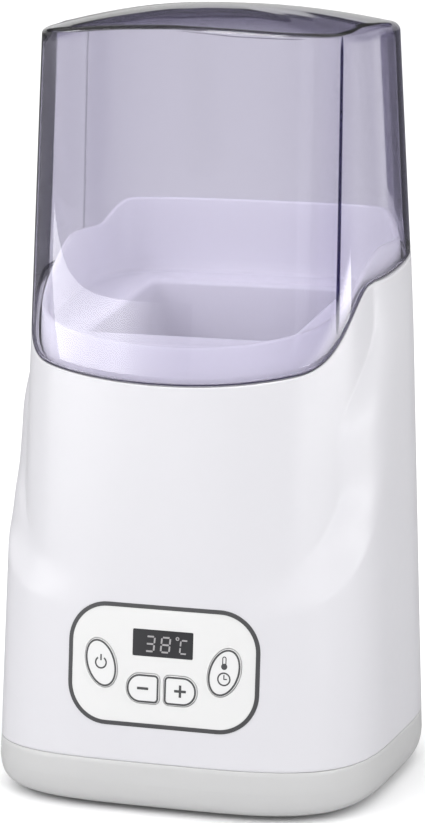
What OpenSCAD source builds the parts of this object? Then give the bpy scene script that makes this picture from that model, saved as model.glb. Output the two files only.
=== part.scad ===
// Carton yogurt maker: heated body, square carton well, control panel on the
// leaning front and a clear lift-off cover. Millimetres, +Z up, standing on z = 0.

/* [Body] */
// Height of the whole maker, feet to the crown of the cover
total_h = 290; // [288:1:294]
// Half width of the body at the top edge of the tray
body_half_w = 73.3; // [72:0.1:75]
// Depth of the front face from the centre line at the tray edge
front_depth = 68.8; // [68:0.1:70]
// Depth of the rear face from the centre line at the tray edge
rear_depth = 68.9; // [68:0.1:70]
// Height of the joint between the body and the tray
tray_h = 19.6; // [18:0.1:21]
// Wall of the body
wall = 2.6; // [2.4:0.1:2.8]

/* [Cover] */
// Half width of the cover where it meets the body
cover_half_w = 65.6; // [65:0.1:66]
// Wall of the cover
cover_t = 2.2; // [2:0.1:2.4]
// Gap between the cover's edge and the body's rim
seam_gap = 0.3; // [0.3:0.05:0.5]

/* [Well] */
// Inside width of the square carton well
well_w = 76.6; // [76.2:0.1:77]
// Height of the well floor above the table
well_floor = 29; // [28.8:0.1:30]

/* [Panel] */
// Width of the control panel over its trim ring
panel_w = 72.8; // [70:0.2:74]
// Height of the control panel over its trim ring
panel_h = 45; // [44.5:0.5:47]
// Height of the panel's centre above the table
panel_z = 55; // [54.5:0.1:55.5]
// Sideways place of the panel's centre
panel_x = 2; // [0:0.5:2]
// How far each button goes in
press = 0.8; // [0.5:0.05:0.8]
// Gap round each button
button_gap = 0.25; // [0.2:0.05:0.3]

/* [Mains] */
// Bore of the cord gland
gland_bore = 6.6; // [6:0.1:7]

/* [Hidden] */

N = 64;                                  // points round every section
lean = atan(0.0846);                     // the front face leans back by this
wc = 3;                                  // the well's centre, behind the axis

function ss(u) = let(v = max(0, min(1, u))) v * v * (3 - 2 * v);
function phi(k) = -180 + (k + 0.5) * 360 / N;
function rho(f, n) = pow(pow(abs(cos(f)), n) + pow(abs(sin(f)), n), -1 / n);
// the front and rear faces lean in as they rise
function yf(z) = front_depth - 0.0846 * (z - 20);
function yb(z) = rear_depth - 0.040 * (z - 20);
function ae(z) = body_half_w - 0.0283 * (z - 20);
// the narrow tower that carries the cover
function at(z) = cover_half_w - 0.0365 * (z - 165);
function kt(z) = 0.078 - 0.00021 * (z - 165);
function ybt(z) = z < 165 ? yb(z) : yb(165) - 0.083 * (z - 165);
// body envelope and tower, each inset by o
function E(f, z, o) = let(r = rho(f, 3.8), c = cos(f) * r, s = sin(f) * r)
  [(ae(z) - o) * c, (s < 0 ? yf(z) - o : yb(z) - o) * s];
function T(f, z, o) = let(r = rho(f, 4.1), c = cos(f) * r, s = sin(f) * r)
  [(at(z) - o) * (1 + kt(z) * s) * c, (s < 0 ? yf(z) - o : ybt(z) - o) * s];
// the shoulder: valley line and outer edge of the swelling, as depth against height
function yv(z) = z > 120 ? -38.5 + 28.5 * ss((z - 138) / 40) : -38.5 - 33 * pow((120 - z) / 40, 1.5);
function yo(z) = 17 - 72 * pow(max(0, 190 - z) / 110, 2.2);
function swell(z, y) = z < 62 ? 1 :
  let(u = max(0, min(1, (y - yv(z)) / (yo(z) - yv(z)))), w = ss((112 - z) / 22))
  (1 - w) * (1 - pow(1 - u, 2.6)) + w * ss(u);
// the swelling sinks towards the cover, so only a narrow ledge is left at the rim
function B(f, z, o) = let(t = T(f, z, o), e = E(f, z, o), s = swell(z, t[1]) * (1 - 0.55 * ss((z - 140) / 50))) t + (e - t) * s;
// the line where the cover meets the body
function zs_at(x, y) = 156.4 + 0.0022 * pow(y > -10 ? 65.2 : min(abs(x), 65.2), 2) + 24.9 * ss((y + 51.5) / 40) + 9.4 * ss((y + 8.5) / 86);
function zseam(f) = let(p = T(f, 170, 0), z1 = zs_at(p[0], p[1]), q = T(f, z1, 0)) zs_at(q[0], q[1]);
// the rim of the liner's collar
function zrim(f) = let(p = T(f, 185, 3.4)) 170 + 0.0027 * pow(p[1] > 0 ? 60 : min(abs(p[0]), 60), 2)
  + 22 * ss((p[1] + 45) / 60) + 9.8 * ss((p[1] - 38) / 14);
// square well section, half size h
function W(f, h) = let(r = rho(f, 16)) [h * cos(f) * r, wc + h * sin(f) * r];

function ring3(f2, f3) = [for (k = [0:N - 1]) let(p = f2[k]) [p[0], p[1], f3[k]]];
function flat(rs) = [for (r = rs) for (p = r) p];
function mid(r) = [avg(r, 0), avg(r, 1), avg(r, 2)];
function sum(v, i, k = 0) = k >= len(v) ? 0 : v[k][i] + sum(v, i, k + 1);
function avg(v, i) = sum(v, i) / len(v);

// skin through rings of N points, closed by a fan at both ends
module skin(rs) {
  m = len(rs);
  pts = concat(flat(rs), [mid(rs[0]), mid(rs[m - 1])]);
  side = [for (i = [0:m - 2]) for (k = [0:N - 1]) let(q = (k + 1) % N)
    each [[i * N + k, (i + 1) * N + k, (i + 1) * N + q], [i * N + k, (i + 1) * N + q, i * N + q]]];
  low = [for (k = [0:N - 1]) [m * N, k, (k + 1) % N]];
  top = [for (k = [0:N - 1]) [m * N + 1, (m - 1) * N + (k + 1) % N, (m - 1) * N + k]];
  polyhedron(points = pts, faces = concat(side, low, top), convexity = 10);
}
// skin through a closed loop of rings: a tube with a wall
module tube_skin(rs) {
  m = len(rs);
  side = [for (i = [0:m - 1]) let(j = (i + 1) % m) for (k = [0:N - 1]) let(q = (k + 1) % N)
    each [[i * N + k, j * N + k, j * N + q], [i * N + k, j * N + q, i * N + q]]];
  polyhedron(points = flat(rs), faces = side, convexity = 10);
}
function Bring(z, o) = [for (k = [0:N - 1]) let(p = B(phi(k), z, o)) [p[0], p[1], z]];
// level i of n between the tray joint and the seam
function Blev(h, o, dz) = [for (k = [0:N - 1]) let(f = phi(k), z = (tray_h) + (zseam(f) - dz - tray_h) * h, p = B(f, z, o)) [p[0], p[1], z]];
function Tlev(o, zf) = [for (k = [0:N - 1]) let(p = T(phi(k), zf[k], o)) [p[0], p[1], zf[k]]];

// outline helpers for the panel, in its own plane
function ell(a, b, t, n = 48) = [for (i = [0:n - 1]) let(c = a * cos(i * 360 / n), s = b * sin(i * 360 / n))
  [c * cos(t) - s * sin(t), c * sin(t) + s * cos(t)]];
function corner(x, y, r, a, n = 8) = [for (i = [0:n]) [x + r * cos(a + i * 90 / n), y + r * sin(a + i * 90 / n)]];
function rrect(w, h, r1, r2, r3, r4) = concat(corner(w / 2 - r1, h / 2 - r1, r1, 0), corner(-w / 2 + r2, h / 2 - r2, r2, 90),
  corner(-w / 2 + r3, -h / 2 + r3, r3, 180), corner(w / 2 - r4, -h / 2 + r4, r4, 270));
module on_panel() translate([panel_x, -yf(panel_z), panel_z]) rotate([90 - lean, 0, 0]) children();
module slab(z0, z1) translate([0, 0, z0]) linear_extrude(z1 - z0) children();
module pill(w, h, r) polygon(rrect(w, h, r, r, r, r));
// front patch of the body surface between insets o0 and o1, deep enough for the panel
module patch(o0, o1) difference() {
  skin([for (z = [22, 44, 62, 68, 74, 80, 84]) Bring(z, o0)]);
  skin([for (z = [21, 44, 62, 68, 74, 80, 85]) Bring(z, o1)]);
}

// ---------- buttons: outline, place in the panel plane ----------
bx = 23.5;
module power_outline(g = 0) translate([-bx, 0]) polygon(ell(5.9 + g, 9.1 + g, 18));
module mode_outline(g = 0) translate([bx, 0]) polygon(ell(5.9 + g, 9.1 + g, -18));
module minus_outline(g = 0) translate([-7.15, -8.1]) polygon(rrect(12.7 + 2 * g, 10.9 + 2 * g, 2 + g, 5.3 + g, 5.3 + g, 2 + g));
module plus_outline(g = 0) translate([7.15, -8.1]) polygon(rrect(12.7 + 2 * g, 10.9 + 2 * g, 5.3 + g, 2 + g, 2 + g, 5.3 + g));
module window_outline(g = 0) translate([0, 8.6]) polygon(rrect(23 + 2 * g, 9.8 + 2 * g, 0.8, 0.8, 0.8, 0.8));
switch_at = [[-bx, 0], [-7.15, -8.1], [7.15, -8.1], [bx, 0]];

module button(p) {
  slab(-3.2, 0.6) children(0);
  slab(-4.2, -3.2) children(1);
  translate([p[0], p[1], -7]) cylinder(r = 2, h = 2.8, $fn = 32);
}
module power_button() color([0.93, 0.93, 0.95]) on_panel() button(switch_at[0]) { power_outline(); power_outline(1.1); }
module minus_button() color([0.93, 0.93, 0.95]) on_panel() button(switch_at[1]) { minus_outline(); intersection() { minus_outline(1.1); translate([-20.6, -20]) square([20, 40]); } }
module plus_button() color([0.93, 0.93, 0.95]) on_panel() button(switch_at[2]) { plus_outline(); intersection() { plus_outline(1.1); translate([0.6, -20]) square([20, 40]); } }
module mode_button() color([0.93, 0.93, 0.95]) on_panel() button(switch_at[3]) { mode_outline(); mode_outline(1.1); }

// ---------- the shell ----------
post = [[54, 46], [-54, 46], [54, -42], [-54, -42]];   // screw posts by the tray's corners
levels = [0, 0.14, 0.27, 0.36, 0.42, 0.47, 0.51, 0.55, 0.59, 0.63, 0.67, 0.71, 0.75, 0.79, 0.83, 0.87, 0.91, 0.95, 1];
gx = 0; gz = 31;                                        // cord gland, low on the rear wall
module outer_shell() color([0.92, 0.92, 0.95]) {
  difference() {
    tube_skin(concat([for (h = levels) Blev(h, 0, 0)],
      [for (h = [1, 0.85, 0.7, 0.55, 0.4, 0.2, 0]) Blev(h, wall, 0)]));
    intersection() {
      patch(-1, 1.6);
      on_panel() slab(-8, 8) pill(panel_w + 0.1, panel_h + 0.1, 15);
    }
    on_panel() slab(-14, 8) pill(panel_w - 9, panel_h - 7, 12);
    // square seat, so that the gland can't turn
    translate([gx, 50, gz]) rotate([-90, 0, 0]) linear_extrude(30) pill(11.2, 11.2, 1.6);
  }
  // screw posts, each on a rib that reaches the wall
  for (p = post) difference() {
    translate([p[0], p[1], tray_h]) cylinder(r = 3.6, h = 16, $fn = 40);
    translate([p[0], p[1], tray_h - 1]) cylinder(r = 1.3, h = 14, $fn = 32);
  }
  // ribs from the posts to the side walls
  for (p = post) intersection() {
    translate([p[0] > 0 ? p[0] + 3.3 : -80, p[1] - 1, tray_h + 3]) cube([80 - abs(p[0]) - 3.3, 2, 13]);
    skin([Bring(20, 1), Bring(45, 1)]);
  }
}

// ---------- the tray ----------
foot = [[40, 50], [-40, 50], [40, -48], [-40, -48]];
stand = [[30, 33], [-30, 33], [30, -27], [-30, -27]];   // posts that carry the liner
stand_h = 22;
bpost = [[21, 17], [-21, 17], [21, -11], [-21, -11]];   // posts that carry the power board
function trayring(z, o) = [for (k = [0:N - 1]) let(p = E(phi(k), max(z, 12), o)) [p[0], p[1], z]];
tz = 1.2;                                               // underside of the tray
module base_tray() color([0.84, 0.84, 0.83]) {
  difference() {
    union() {
      skin([trayring(tz, 9.5), trayring(tz + 0.55, 6), trayring(tz + 1.9, 3.2), trayring(tz + 4.2, 1.3), trayring(tz + 7.2, 0.35),
        trayring(tz + 10.5, 0), trayring(tray_h, 0), trayring(tray_h, wall), trayring(9, wall + 0.6),
        trayring(5.5, 4.2), trayring(tz + 2.4, 7.5)]);
      for (p = stand) translate([p[0], p[1], tz + 2.2]) cylinder(r = 4, h = stand_h - tz - 2.2, $fn = 40);
      for (p = post) translate([p[0], p[1], tz + 1.5]) cylinder(r = 4.2, h = tray_h - tz - 1.5, $fn = 40);
      for (p = bpost) translate([p[0], p[1], tz + 2.2]) cylinder(r = 2.6, h = 4.6, $fn = 32);
    }
    for (p = foot) translate([p[0], p[1], tz - 1]) cylinder(r = 6.1, h = 2.2, $fn = 48);
    for (p = post) {
      translate([p[0], p[1], 0]) cylinder(r = 1.7, h = 30, $fn = 32);
      translate([p[0], p[1], 0]) cylinder(r = 3.1, h = 11, $fn = 32);
    }
    for (p = stand) {
      translate([p[0], p[1], 0]) cylinder(r = 1.7, h = 40, $fn = 32);
      translate([p[0], p[1], 0]) cylinder(r = 2.9, h = 14, $fn = 32);
    }
    for (p = bpost) translate([p[0], p[1], tz + 3]) cylinder(r = 1, h = 6, $fn = 24);
    // cooling slots
    for (i = [-3:3]) translate([i * 7 - 1, -6, -1]) cube([2, 18, 8]);
  }
}
module rubber_feet() color([0.25, 0.25, 0.26]) for (p = foot) translate([p[0], p[1], 0]) {
  cylinder(r = 6, h = 2.4, $fn = 48);
}
module screw(l, r, hr, hh) {
  difference() {
    cylinder(r = hr, h = hh, $fn = 32);
    translate([-hr * 0.65, -0.35, -1]) cube([hr * 1.3, 0.7, 1.9]);
    translate([-0.35, -hr * 0.65, -1]) cube([0.7, hr * 1.3, 1.9]);
  }
  translate([0, 0, hh]) cylinder(r = r, h = l, $fn = 24);
}
module base_screws() color([0.7, 0.7, 0.72]) for (p = post) translate([p[0], p[1], 8.8]) screw(19, 1.25, 2.8, 2.2);
module liner_screws() color([0.7, 0.7, 0.72]) for (p = stand) translate([p[0], p[1], 11.8]) screw(11.6, 1.25, 2.6, 2.2);

// ---------- the liner: collar, dish and carton well ----------
co = 3.4;                                               // the collar stands this far inside the cover's face
cw = 2.2;
function deckz(y) = 176 + 0.12 * y;
fs = [for (k = [0:N - 1]) phi(k)];
fw = [for (k = [0:N - 1]) phi(k - 0.5)];                // the well has a point on each corner
zr = [for (f = fs) zrim(f)];
zl = [for (f = fs) min(zseam(f) - 12, deckz(T(f, 176, co)[1]) - 7)];
function Wring(h, zz) = [for (k = [0:N - 1]) let(p = W(fw[k], h)) [p[0], p[1], zz]];
function Wdeck(h, dz) = [for (k = [0:N - 1]) let(p = W(fw[k], h)) [p[0], p[1], deckz(p[1]) + dz]];
function Tdeck(o, dz) = [for (k = [0:N - 1]) let(p = T(fs[k], 176, o)) [p[0], p[1], deckz(p[1]) + dz]];
function add(v, d) = [for (x = v) x + d];
// from the rim down to the dish, part way h
function Tin(o, h) = [for (k = [0:N - 1]) let(p0 = T(fs[k], 176, o), zd = deckz(p0[1]), z = zr[k] - 0.6 + (min(zd + 1.4, zr[k] - 0.9) - zr[k] + 0.6) * h, p = T(fs[k], z, o)) [p[0], p[1], z]];
module inner_liner() color([0.93, 0.92, 0.97]) {
    skin([Wring(well_w / 2 - 1, well_floor - 2), Wring(well_w / 2 + 1.6, well_floor - 0.6), Wring(well_w / 2 + 2, well_floor + 6),
      Wdeck(well_w / 2 + 2, -4.4), Wdeck(well_w / 2 + 3.4, -2.3), Tdeck(co + cw + 1, -2.3),
      Tlev(co + cw, zl), Tlev(co, zl), Tlev(co, add(zl, 7)), Tlev(co, add(zl, 14)), Tlev(co, [for (k = [0:N - 1]) (zl[k] + 14 + zr[k]) / 2]),
      Tlev(co, add(zr, -0.8)), Tlev(co + 0.25, add(zr, -0.25)), Tlev(co + 0.8, zr), Tlev(co + 1.6, zr), Tlev(co + 2.1, add(zr, -0.2)),
      Tin(co + cw + 0.2, 0), Tin(co + cw + 0.3, 0.5), Tin(co + cw + 0.5, 1), Tdeck(co + cw + 1.6, 0.35), Tdeck(co + cw + 3, 0),
      Wdeck(well_w / 2 + 1.8, 0), Wdeck(well_w / 2 + 0.8, -0.4), Wdeck(well_w / 2 + 0.3, -1.6),
      Wring(well_w / 2, well_floor + 0.9), Wring(well_w / 2 - 0.25, well_floor + 0.25), Wring(well_w / 2 - 0.9, well_floor)]);
  // bosses under the well, for the liner screws
  for (p = stand) difference() {
    translate([p[0], p[1], stand_h]) cylinder(r = 4, h = well_floor - 1.2 - stand_h, $fn = 40);
    translate([p[0], p[1], stand_h - 1]) cylinder(r = 1.3, h = 5.2, $fn = 32);
  }
}

// ---------- heating ----------
module sq_ring(h0, h1, z0, z1, r) translate([0, wc, z0]) linear_extrude(z1 - z0) difference() {
  polygon(rrect(2 * h1, 2 * h1, r + h1 - h0, r + h1 - h0, r + h1 - h0, r + h1 - h0));
  polygon(rrect(2 * h0, 2 * h0, r, r, r, r));
}
hw0 = well_w / 2 + 2.2;
module heater_wrap() color([0.75, 0.45, 0.25]) sq_ring(hw0, hw0 + 1, 42, 112, 5);
module insulation_sleeve() color([0.55, 0.55, 0.58]) difference() {
  sq_ring(hw0 + 1.1, hw0 + 4.6, 46, 116, 6);
  translate([-80, wc - 10, 60]) cube([80, 20, 60]);
}
module sensor_clip() color([0.6, 0.6, 0.62]) translate([-hw0 - 1, wc - 5, 78]) difference() {
  translate([-4.2, 0, 0]) cube([4.2, 10, 8]);
  translate([-2.4, 5, -1]) cylinder(r = 1.6, h = 10, $fn = 32);
}
module ntc_sensor() color([0.1, 0.1, 0.1]) translate([-hw0 - 3.4, wc, 74]) cylinder(r = 1.5, h = 14, $fn = 32);
module fuse_clip() color([0.6, 0.6, 0.62]) translate([-hw0 - 1, wc - 6, 94]) difference() {
  translate([-5, 0, 0]) cube([5, 12, 7]);
  translate([-2.7, -1, 3.5]) rotate([-90, 0, 0]) cylinder(r = 2.1, h = 14, $fn = 32);
}
module thermal_fuse() color([0.85, 0.8, 0.7]) translate([-hw0 - 3.7, wc - 7, 97.5]) rotate([-90, 0, 0]) cylinder(r = 2, h = 14, $fn = 32);

// ---------- control panel ----------
module panel_plate() color([0.95, 0.95, 0.96]) {
  intersection() {
    patch(0, 1.5);
    on_panel() slab(-6, 6) difference() {
      pill(panel_w - 3.2, panel_h - 3.2, 13.4);
      power_outline(button_gap); mode_outline(button_gap); minus_outline(button_gap); plus_outline(button_gap);
      window_outline(0);
    }
  }
  // posts behind the plate carry the control board
  on_panel() for (p = bh) difference() {
    translate([p[0], p[1], bz]) cylinder(r = 2.6, h = -bz - 0.9, $fn = 40);
    translate([p[0], p[1], bz - 1]) cylinder(r = 1.2, h = 8, $fn = 32);
  }
}
module panel_trim() color([0.3, 0.3, 0.32]) intersection() {
  patch(0, 1.5);
  on_panel() slab(-6, 6) difference() { pill(panel_w, panel_h, 15); pill(panel_w - 3, panel_h - 3, 13.5); }
}
module display_window() color([0.12, 0.12, 0.14]) on_panel() {
  slab(-1.6, -0.15) window_outline(-0.1);
}
module display_module() color([0.1, 0.1, 0.1]) on_panel() slab(bz, -1.7) translate([0, 8.6]) square([24, 11], center = true);
bz = -12;                                               // component side of the control board
bh = [[18, 14.2], [-18, 14.2], [19, -15], [-19, -15]];
module control_board() color([0.1, 0.4, 0.22]) on_panel() difference() {
  slab(bz - 1.6, bz) square([60, 36], center = true);
  for (p = bh) translate([p[0], p[1], bz - 3]) cylinder(r = 1.4, h = 6, $fn = 32);
}
module tact_switches() color([0.15, 0.15, 0.15]) on_panel() for (p = switch_at) translate([p[0], p[1], 0]) {
  slab(bz, bz + 3.3) square([6, 6], center = true);
  translate([0, 0, bz + 3.3]) cylinder(r = 1.7, h = 0.75, $fn = 32);
}
module controller_chip() color([0.08, 0.08, 0.08]) on_panel() slab(bz - 3.2, bz - 1.6) translate([-8, 0]) square([10, 7], center = true);
module buzzer() color([0.08, 0.08, 0.08]) on_panel() translate([10, -2, bz - 7.6]) difference() {
  cylinder(r = 6, h = 6, $fn = 48);
  translate([0, 0, -1]) cylinder(r = 1, h = 3, $fn = 24);
}
module board_screws() color([0.7, 0.7, 0.72]) on_panel() for (p = bh) translate([p[0], p[1], bz - 1.6 - 1.6]) {
  cylinder(r = 2.4, h = 1.6, $fn = 32);
  translate([0, 0, 1.6]) cylinder(r = 1.15, h = 6.5, $fn = 24);
}

// ---------- power board on the tray ----------
pz = tz + 6.8;
module power_board() color([0.1, 0.35, 0.2]) difference() {
  translate([-25, -15, pz]) cube([50, 36, 1.6]);
  for (p = bpost) translate([p[0], p[1], pz - 1]) cylinder(r = 1.3, h = 4, $fn = 24);
}
module power_board_screws() color([0.7, 0.7, 0.72]) for (p = bpost) translate([p[0], p[1], pz + 1.6]) {
  cylinder(r = 2.2, h = 1.5, $fn = 32);
  translate([0, 0, -5]) cylinder(r = 0.9, h = 5, $fn = 24);
}
module transformer() color([0.8, 0.75, 0.3]) translate([-16, -6, pz + 1.6]) { cube([14, 16, 3]); translate([1, 1, 3]) cube([12, 14, 8]); translate([0, 0, 11]) cube([14, 16, 2]); }
module relay() color([0.15, 0.3, 0.6]) translate([2, -12, pz + 1.6]) cube([12, 10, 13]);
module capacitor() color([0.15, 0.15, 0.2]) translate([6.4, 3, pz + 1.6]) cylinder(r = 4, h = 13, $fn = 40);
module mains_fuse() color([0.85, 0.85, 0.8]) {
  translate([-10, 15, pz + 4.8]) rotate([0, 90, 0]) cylinder(r = 2.6, h = 18, $fn = 32);
  for (x = [-9.5, 4.5]) translate([x, 12.6, pz + 1.6]) cube([3, 4.8, 3.2]);
}
module terminal_block() color([0.2, 0.5, 0.3]) translate([12, 5, pz + 1.6]) difference() {
  cube([12, 8, 10]);
  for (i = [0, 1]) translate([3 + i * 6, 4.5, 5]) cylinder(r = 1.8, h = 6, $fn = 24);
  for (i = [0, 1]) translate([3 + i * 6, 2, 3.4]) rotate([-90, 0, 0]) cylinder(r = 1.2, h = 8, $fn = 24);
}

// ---------- leads inside the body ----------
module leg(p, q, r) let(d = q - p, l = norm(d)) translate(p)
  rotate([0, 0, abs(d[1]) > 0.1 ? (d[1] > 0 ? 90 : -90) : (d[0] < -0.1 ? 180 : 0)])
  rotate([0, abs(d[2]) > 0.1 ? (d[2] > 0 ? 0 : 180) : 90, 0]) cylinder(r = r, h = l, $fn = 16);
module lead(ps, r) for (i = [0:len(ps) - 2]) { leg(ps[i], ps[i + 1], r); if (i > 0) translate(ps[i]) sphere(r = r, $fn = 16); }
module ribbon_lead() color([0.6, 0.6, 0.6]) {
  on_panel() slab(bz - 2.4, bz - 1.6) translate([-16, 10.5 - panel_z]) square([12, panel_z - 18.5]);
  translate([panel_x - 16, -56.3, 9.6]) cube([12, 43.3, 0.8]);
}
hz = pz + 4.4;                                          // height of the leads at the header
hx = -23.5;
module lead_header() color([0.95, 0.94, 0.9]) translate([hx, -7, pz + 1.6]) cube([4.6, 20, 6]);
module heater_leads() color([0.8, 0.2, 0.2]) for (y = [-2, 8])
  lead([[-hw0 - 0.9, y, 42], [-hw0 - 0.9, y, hz], [hx, y, hz]], 0.9);
module fuse_leads() color([0.85, 0.85, 0.85]) for (y = [[-4, -5.2], [10, 11.2]])
  lead([[-hw0 - 3.7, y[0], 97.5], [-hw0 - 3.7, y[1], 97.5], [-hw0 - 6, y[1], 97.5], [-hw0 - 6, y[1], hz], [hx, y[1], hz]], 0.8);
module sensor_leads() color([0.1, 0.1, 0.1]) for (y = [2.3, 3.7])
  lead([[-hw0 - 3.4, y, 74], [-hw0 - 3.4, y, 66], [-hw0 - 6, y, 66], [-hw0 - 6, y, hz], [hx, y, hz]], 0.45);

// ---------- cord gland ----------
ry = yb(gz);
module cord_gland() color([0.88, 0.88, 0.88]) translate([gx, 0, gz]) rotate([-90, 0, 0]) translate([0, 0, ry])
  difference() {
    union() {
      translate([0, 0, 0.4]) cylinder(r = 8, h = 2.6, $fn = 64);
      translate([0, 0, -9]) linear_extrude(10) pill(10.8, 10.8, 1.5);
    }
    translate([0, 0, -14]) cylinder(r = gland_bore / 2, h = 20, $fn = 48);
  }
module gland_clamp() color([0.2, 0.2, 0.2]) translate([gx, 0, gz]) rotate([-90, 0, 0]) translate([0, 0, ry - 6.1])
  difference() { cylinder(r = 9, h = 3, $fn = 48); translate([0, 0, -1]) linear_extrude(6) pill(10.9, 10.9, 1.55); }

// ---------- the cover ----------
zsm = [for (f = fs) zseam(f)];
edge_r = 4;
function ze(f) = total_h - 6 - 1.5 * pow(abs(sin(2 * f)), 1.5);
function Lwall(o, h) = [for (k = [0:N - 1]) let(z = zsm[k] + seam_gap + (ze(fs[k]) - edge_r - zsm[k] - seam_gap) * h, p = T(fs[k], z, o)) [p[0], p[1], z]];
// crown of the cover: section shrunk to s of its size
function Ltop(o, i, s) = [for (k = [0:N - 1]) let(f = fs[k], p = T(f, ze(f) - edge_r, o + i), z = ze(f) - o - 0.15 + (total_h - ze(f) + 0.15) * (1 - s * s)) [p[0] * s, 1.5 + (p[1] - 1.5) * s, z]];
function Ledge(o, a) = let(r = edge_r - o * 0.4) [for (k = [0:N - 1]) let(f = fs[k], p = T(f, ze(f) - edge_r, o + r * (1 - cos(a)))) [p[0], p[1], ze(f) - edge_r + (edge_r - o - 0.15) * sin(a)]];
module lid() color([0.55, 0.53, 0.62, 0.6]) skin(concat(
  [Ltop(cover_t, 3.4, 0.15), Ltop(cover_t, 3.4, 0.5), Ltop(cover_t, 3.4, 0.8), Ltop(cover_t, 3.4, 0.96)],
  [for (a = [60, 30, 0]) Ledge(cover_t, a)],
  [for (h = [0.75, 0.5, 0.25, 0]) Lwall(cover_t, h)],
  [for (h = [0, 0.15, 0.3, 0.5, 0.7, 0.85]) Lwall(0, h)],
  [for (a = [0, 22, 45, 68]) Ledge(0, a)],
  [Ltop(0, 4, 0.98), Ltop(0, 4, 0.8), Ltop(0, 4, 0.55), Ltop(0, 4, 0.3), Ltop(0, 4, 0.1)]));

outer_shell();
base_tray();
rubber_feet();
base_screws();
inner_liner();
liner_screws();
heater_wrap();
insulation_sleeve();
ntc_sensor();
sensor_clip();
thermal_fuse();
fuse_clip();
panel_plate();
panel_trim();
display_window();
display_module();
control_board();
tact_switches();
controller_chip();
buzzer();
board_screws();
power_button();
minus_button();
plus_button();
mode_button();
power_board();
power_board_screws();
transformer();
relay();
capacitor();
mains_fuse();
terminal_block();
lead_header();
ribbon_lead();
heater_leads();
fuse_leads();
sensor_leads();
cord_gland();
gland_clamp();
lid();
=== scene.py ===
import math

import bmesh
import bpy
import numpy as np
from mathutils import Matrix, Vector
from mathutils.geometry import delaunay_2d_cdt


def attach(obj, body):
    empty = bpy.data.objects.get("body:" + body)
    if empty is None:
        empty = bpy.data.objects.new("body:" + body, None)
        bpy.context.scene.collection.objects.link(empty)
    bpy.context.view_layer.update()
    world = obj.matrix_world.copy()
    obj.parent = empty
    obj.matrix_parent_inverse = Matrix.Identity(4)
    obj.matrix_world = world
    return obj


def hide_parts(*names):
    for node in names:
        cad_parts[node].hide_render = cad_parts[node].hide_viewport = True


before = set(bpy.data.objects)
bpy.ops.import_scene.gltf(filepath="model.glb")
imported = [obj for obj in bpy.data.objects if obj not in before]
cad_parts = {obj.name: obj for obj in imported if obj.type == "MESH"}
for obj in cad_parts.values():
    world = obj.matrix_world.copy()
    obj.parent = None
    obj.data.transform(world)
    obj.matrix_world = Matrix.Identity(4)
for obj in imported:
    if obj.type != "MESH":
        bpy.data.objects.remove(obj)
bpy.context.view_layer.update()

MM = 0.001

# ------------------------------------------------------------------ camera
F_PX, DIST, YAW, PITCH, ROLL = 3368.34, 1262.82, 0.322099, 0.176713, 0.001835
TX, TZ = 0.971, 137.663
back = Vector((math.sin(YAW) * math.cos(PITCH), -math.cos(YAW) * math.cos(PITCH), math.sin(PITCH)))
right = Vector((math.cos(YAW), math.sin(YAW), 0))
up = back.cross(right)
r2 = math.cos(ROLL) * right + math.sin(ROLL) * up
u2 = -math.sin(ROLL) * right + math.cos(ROLL) * up
cam_data = bpy.data.cameras.new("camera")
cam_data.sensor_width = 36.0
cam_data.lens = F_PX / 823.0 * 36.0
cam_data.clip_start, cam_data.clip_end = 0.05, 60
cam = bpy.data.objects.new("camera", cam_data)
bpy.context.scene.collection.objects.link(cam)
loc = (Vector((0, 0, TZ)) + back * DIST - r2 * TX) * MM
cam.matrix_world = Matrix(((r2.x, u2.x, back.x, loc.x), (r2.y, u2.y, back.y, loc.y), (r2.z, u2.z, back.z, loc.z), (0, 0, 0, 1)))
bpy.context.scene.camera = cam

# ------------------------------------------------------------------ the body's surfaces, in mm
TOTAL_H, HALF_W, FRONT, REAR, TRAY_H, WALL = 290.0, 73.3, 68.8, 68.9, 19.6, 2.6
COVER_W, COVER_T, SEAM_GAP = 65.6, 2.2, 0.3
WELL_W, WELL_FLOOR, WC = 76.6, 29.0, 3.0
PANEL_W, PANEL_H, PANEL_X, PANEL_Z = 72.8, 45.0, 2.0, 55.0
CO, CW = 3.4, 2.2
N = 256
PHI = np.radians(-180 + (np.arange(N) + 0.5) * 360 / N)


def ss(u):
    v = np.clip(u, 0, 1)
    return v * v * (3 - 2 * v)


def rho(f, n):
    return (np.abs(np.cos(f)) ** n + np.abs(np.sin(f)) ** n) ** (-1 / n)


def yf(z):
    return FRONT - 0.0846 * (z - 20)


def yb(z):
    return REAR - 0.040 * (z - 20)


def ae(z):
    return HALF_W - 0.0283 * (z - 20)


def at(z):
    return COVER_W - 0.0365 * (z - 165)


def kt(z):
    return 0.078 - 0.00021 * (z - 165)


def ybt(z):
    return np.where(z < 165, yb(z), yb(165) - 0.083 * (z - 165))


def E(f, z, o):
    r = rho(f, 3.8)
    c, s = np.cos(f) * r, np.sin(f) * r
    return (ae(z) - o) * c, np.where(s < 0, yf(z) - o, yb(z) - o) * s


def T(f, z, o):
    r = rho(f, 4.1)
    c, s = np.cos(f) * r, np.sin(f) * r
    return (at(z) - o) * (1 + kt(z) * s) * c, np.where(s < 0, yf(z) - o, ybt(z) - o) * s


def yv(z):
    low = -38.5 - 33 * (np.maximum(120 - z, 0) / 40) ** 1.5
    return np.where(z > 120, -38.5 + 28.5 * ss((z - 138) / 40), low)


def yo(z):
    return 17 - 72 * (np.maximum(0, 190 - z) / 110) ** 2.2


def swell(z, y):
    u = np.clip((y - yv(z)) / (yo(z) - yv(z)), 0, 1)
    w = ss((112 - z) / 22)
    s = (1 - w) * (1 - (1 - u) ** 2.6) + w * ss(u)
    return np.where(z < 62, 1.0, s)


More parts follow.
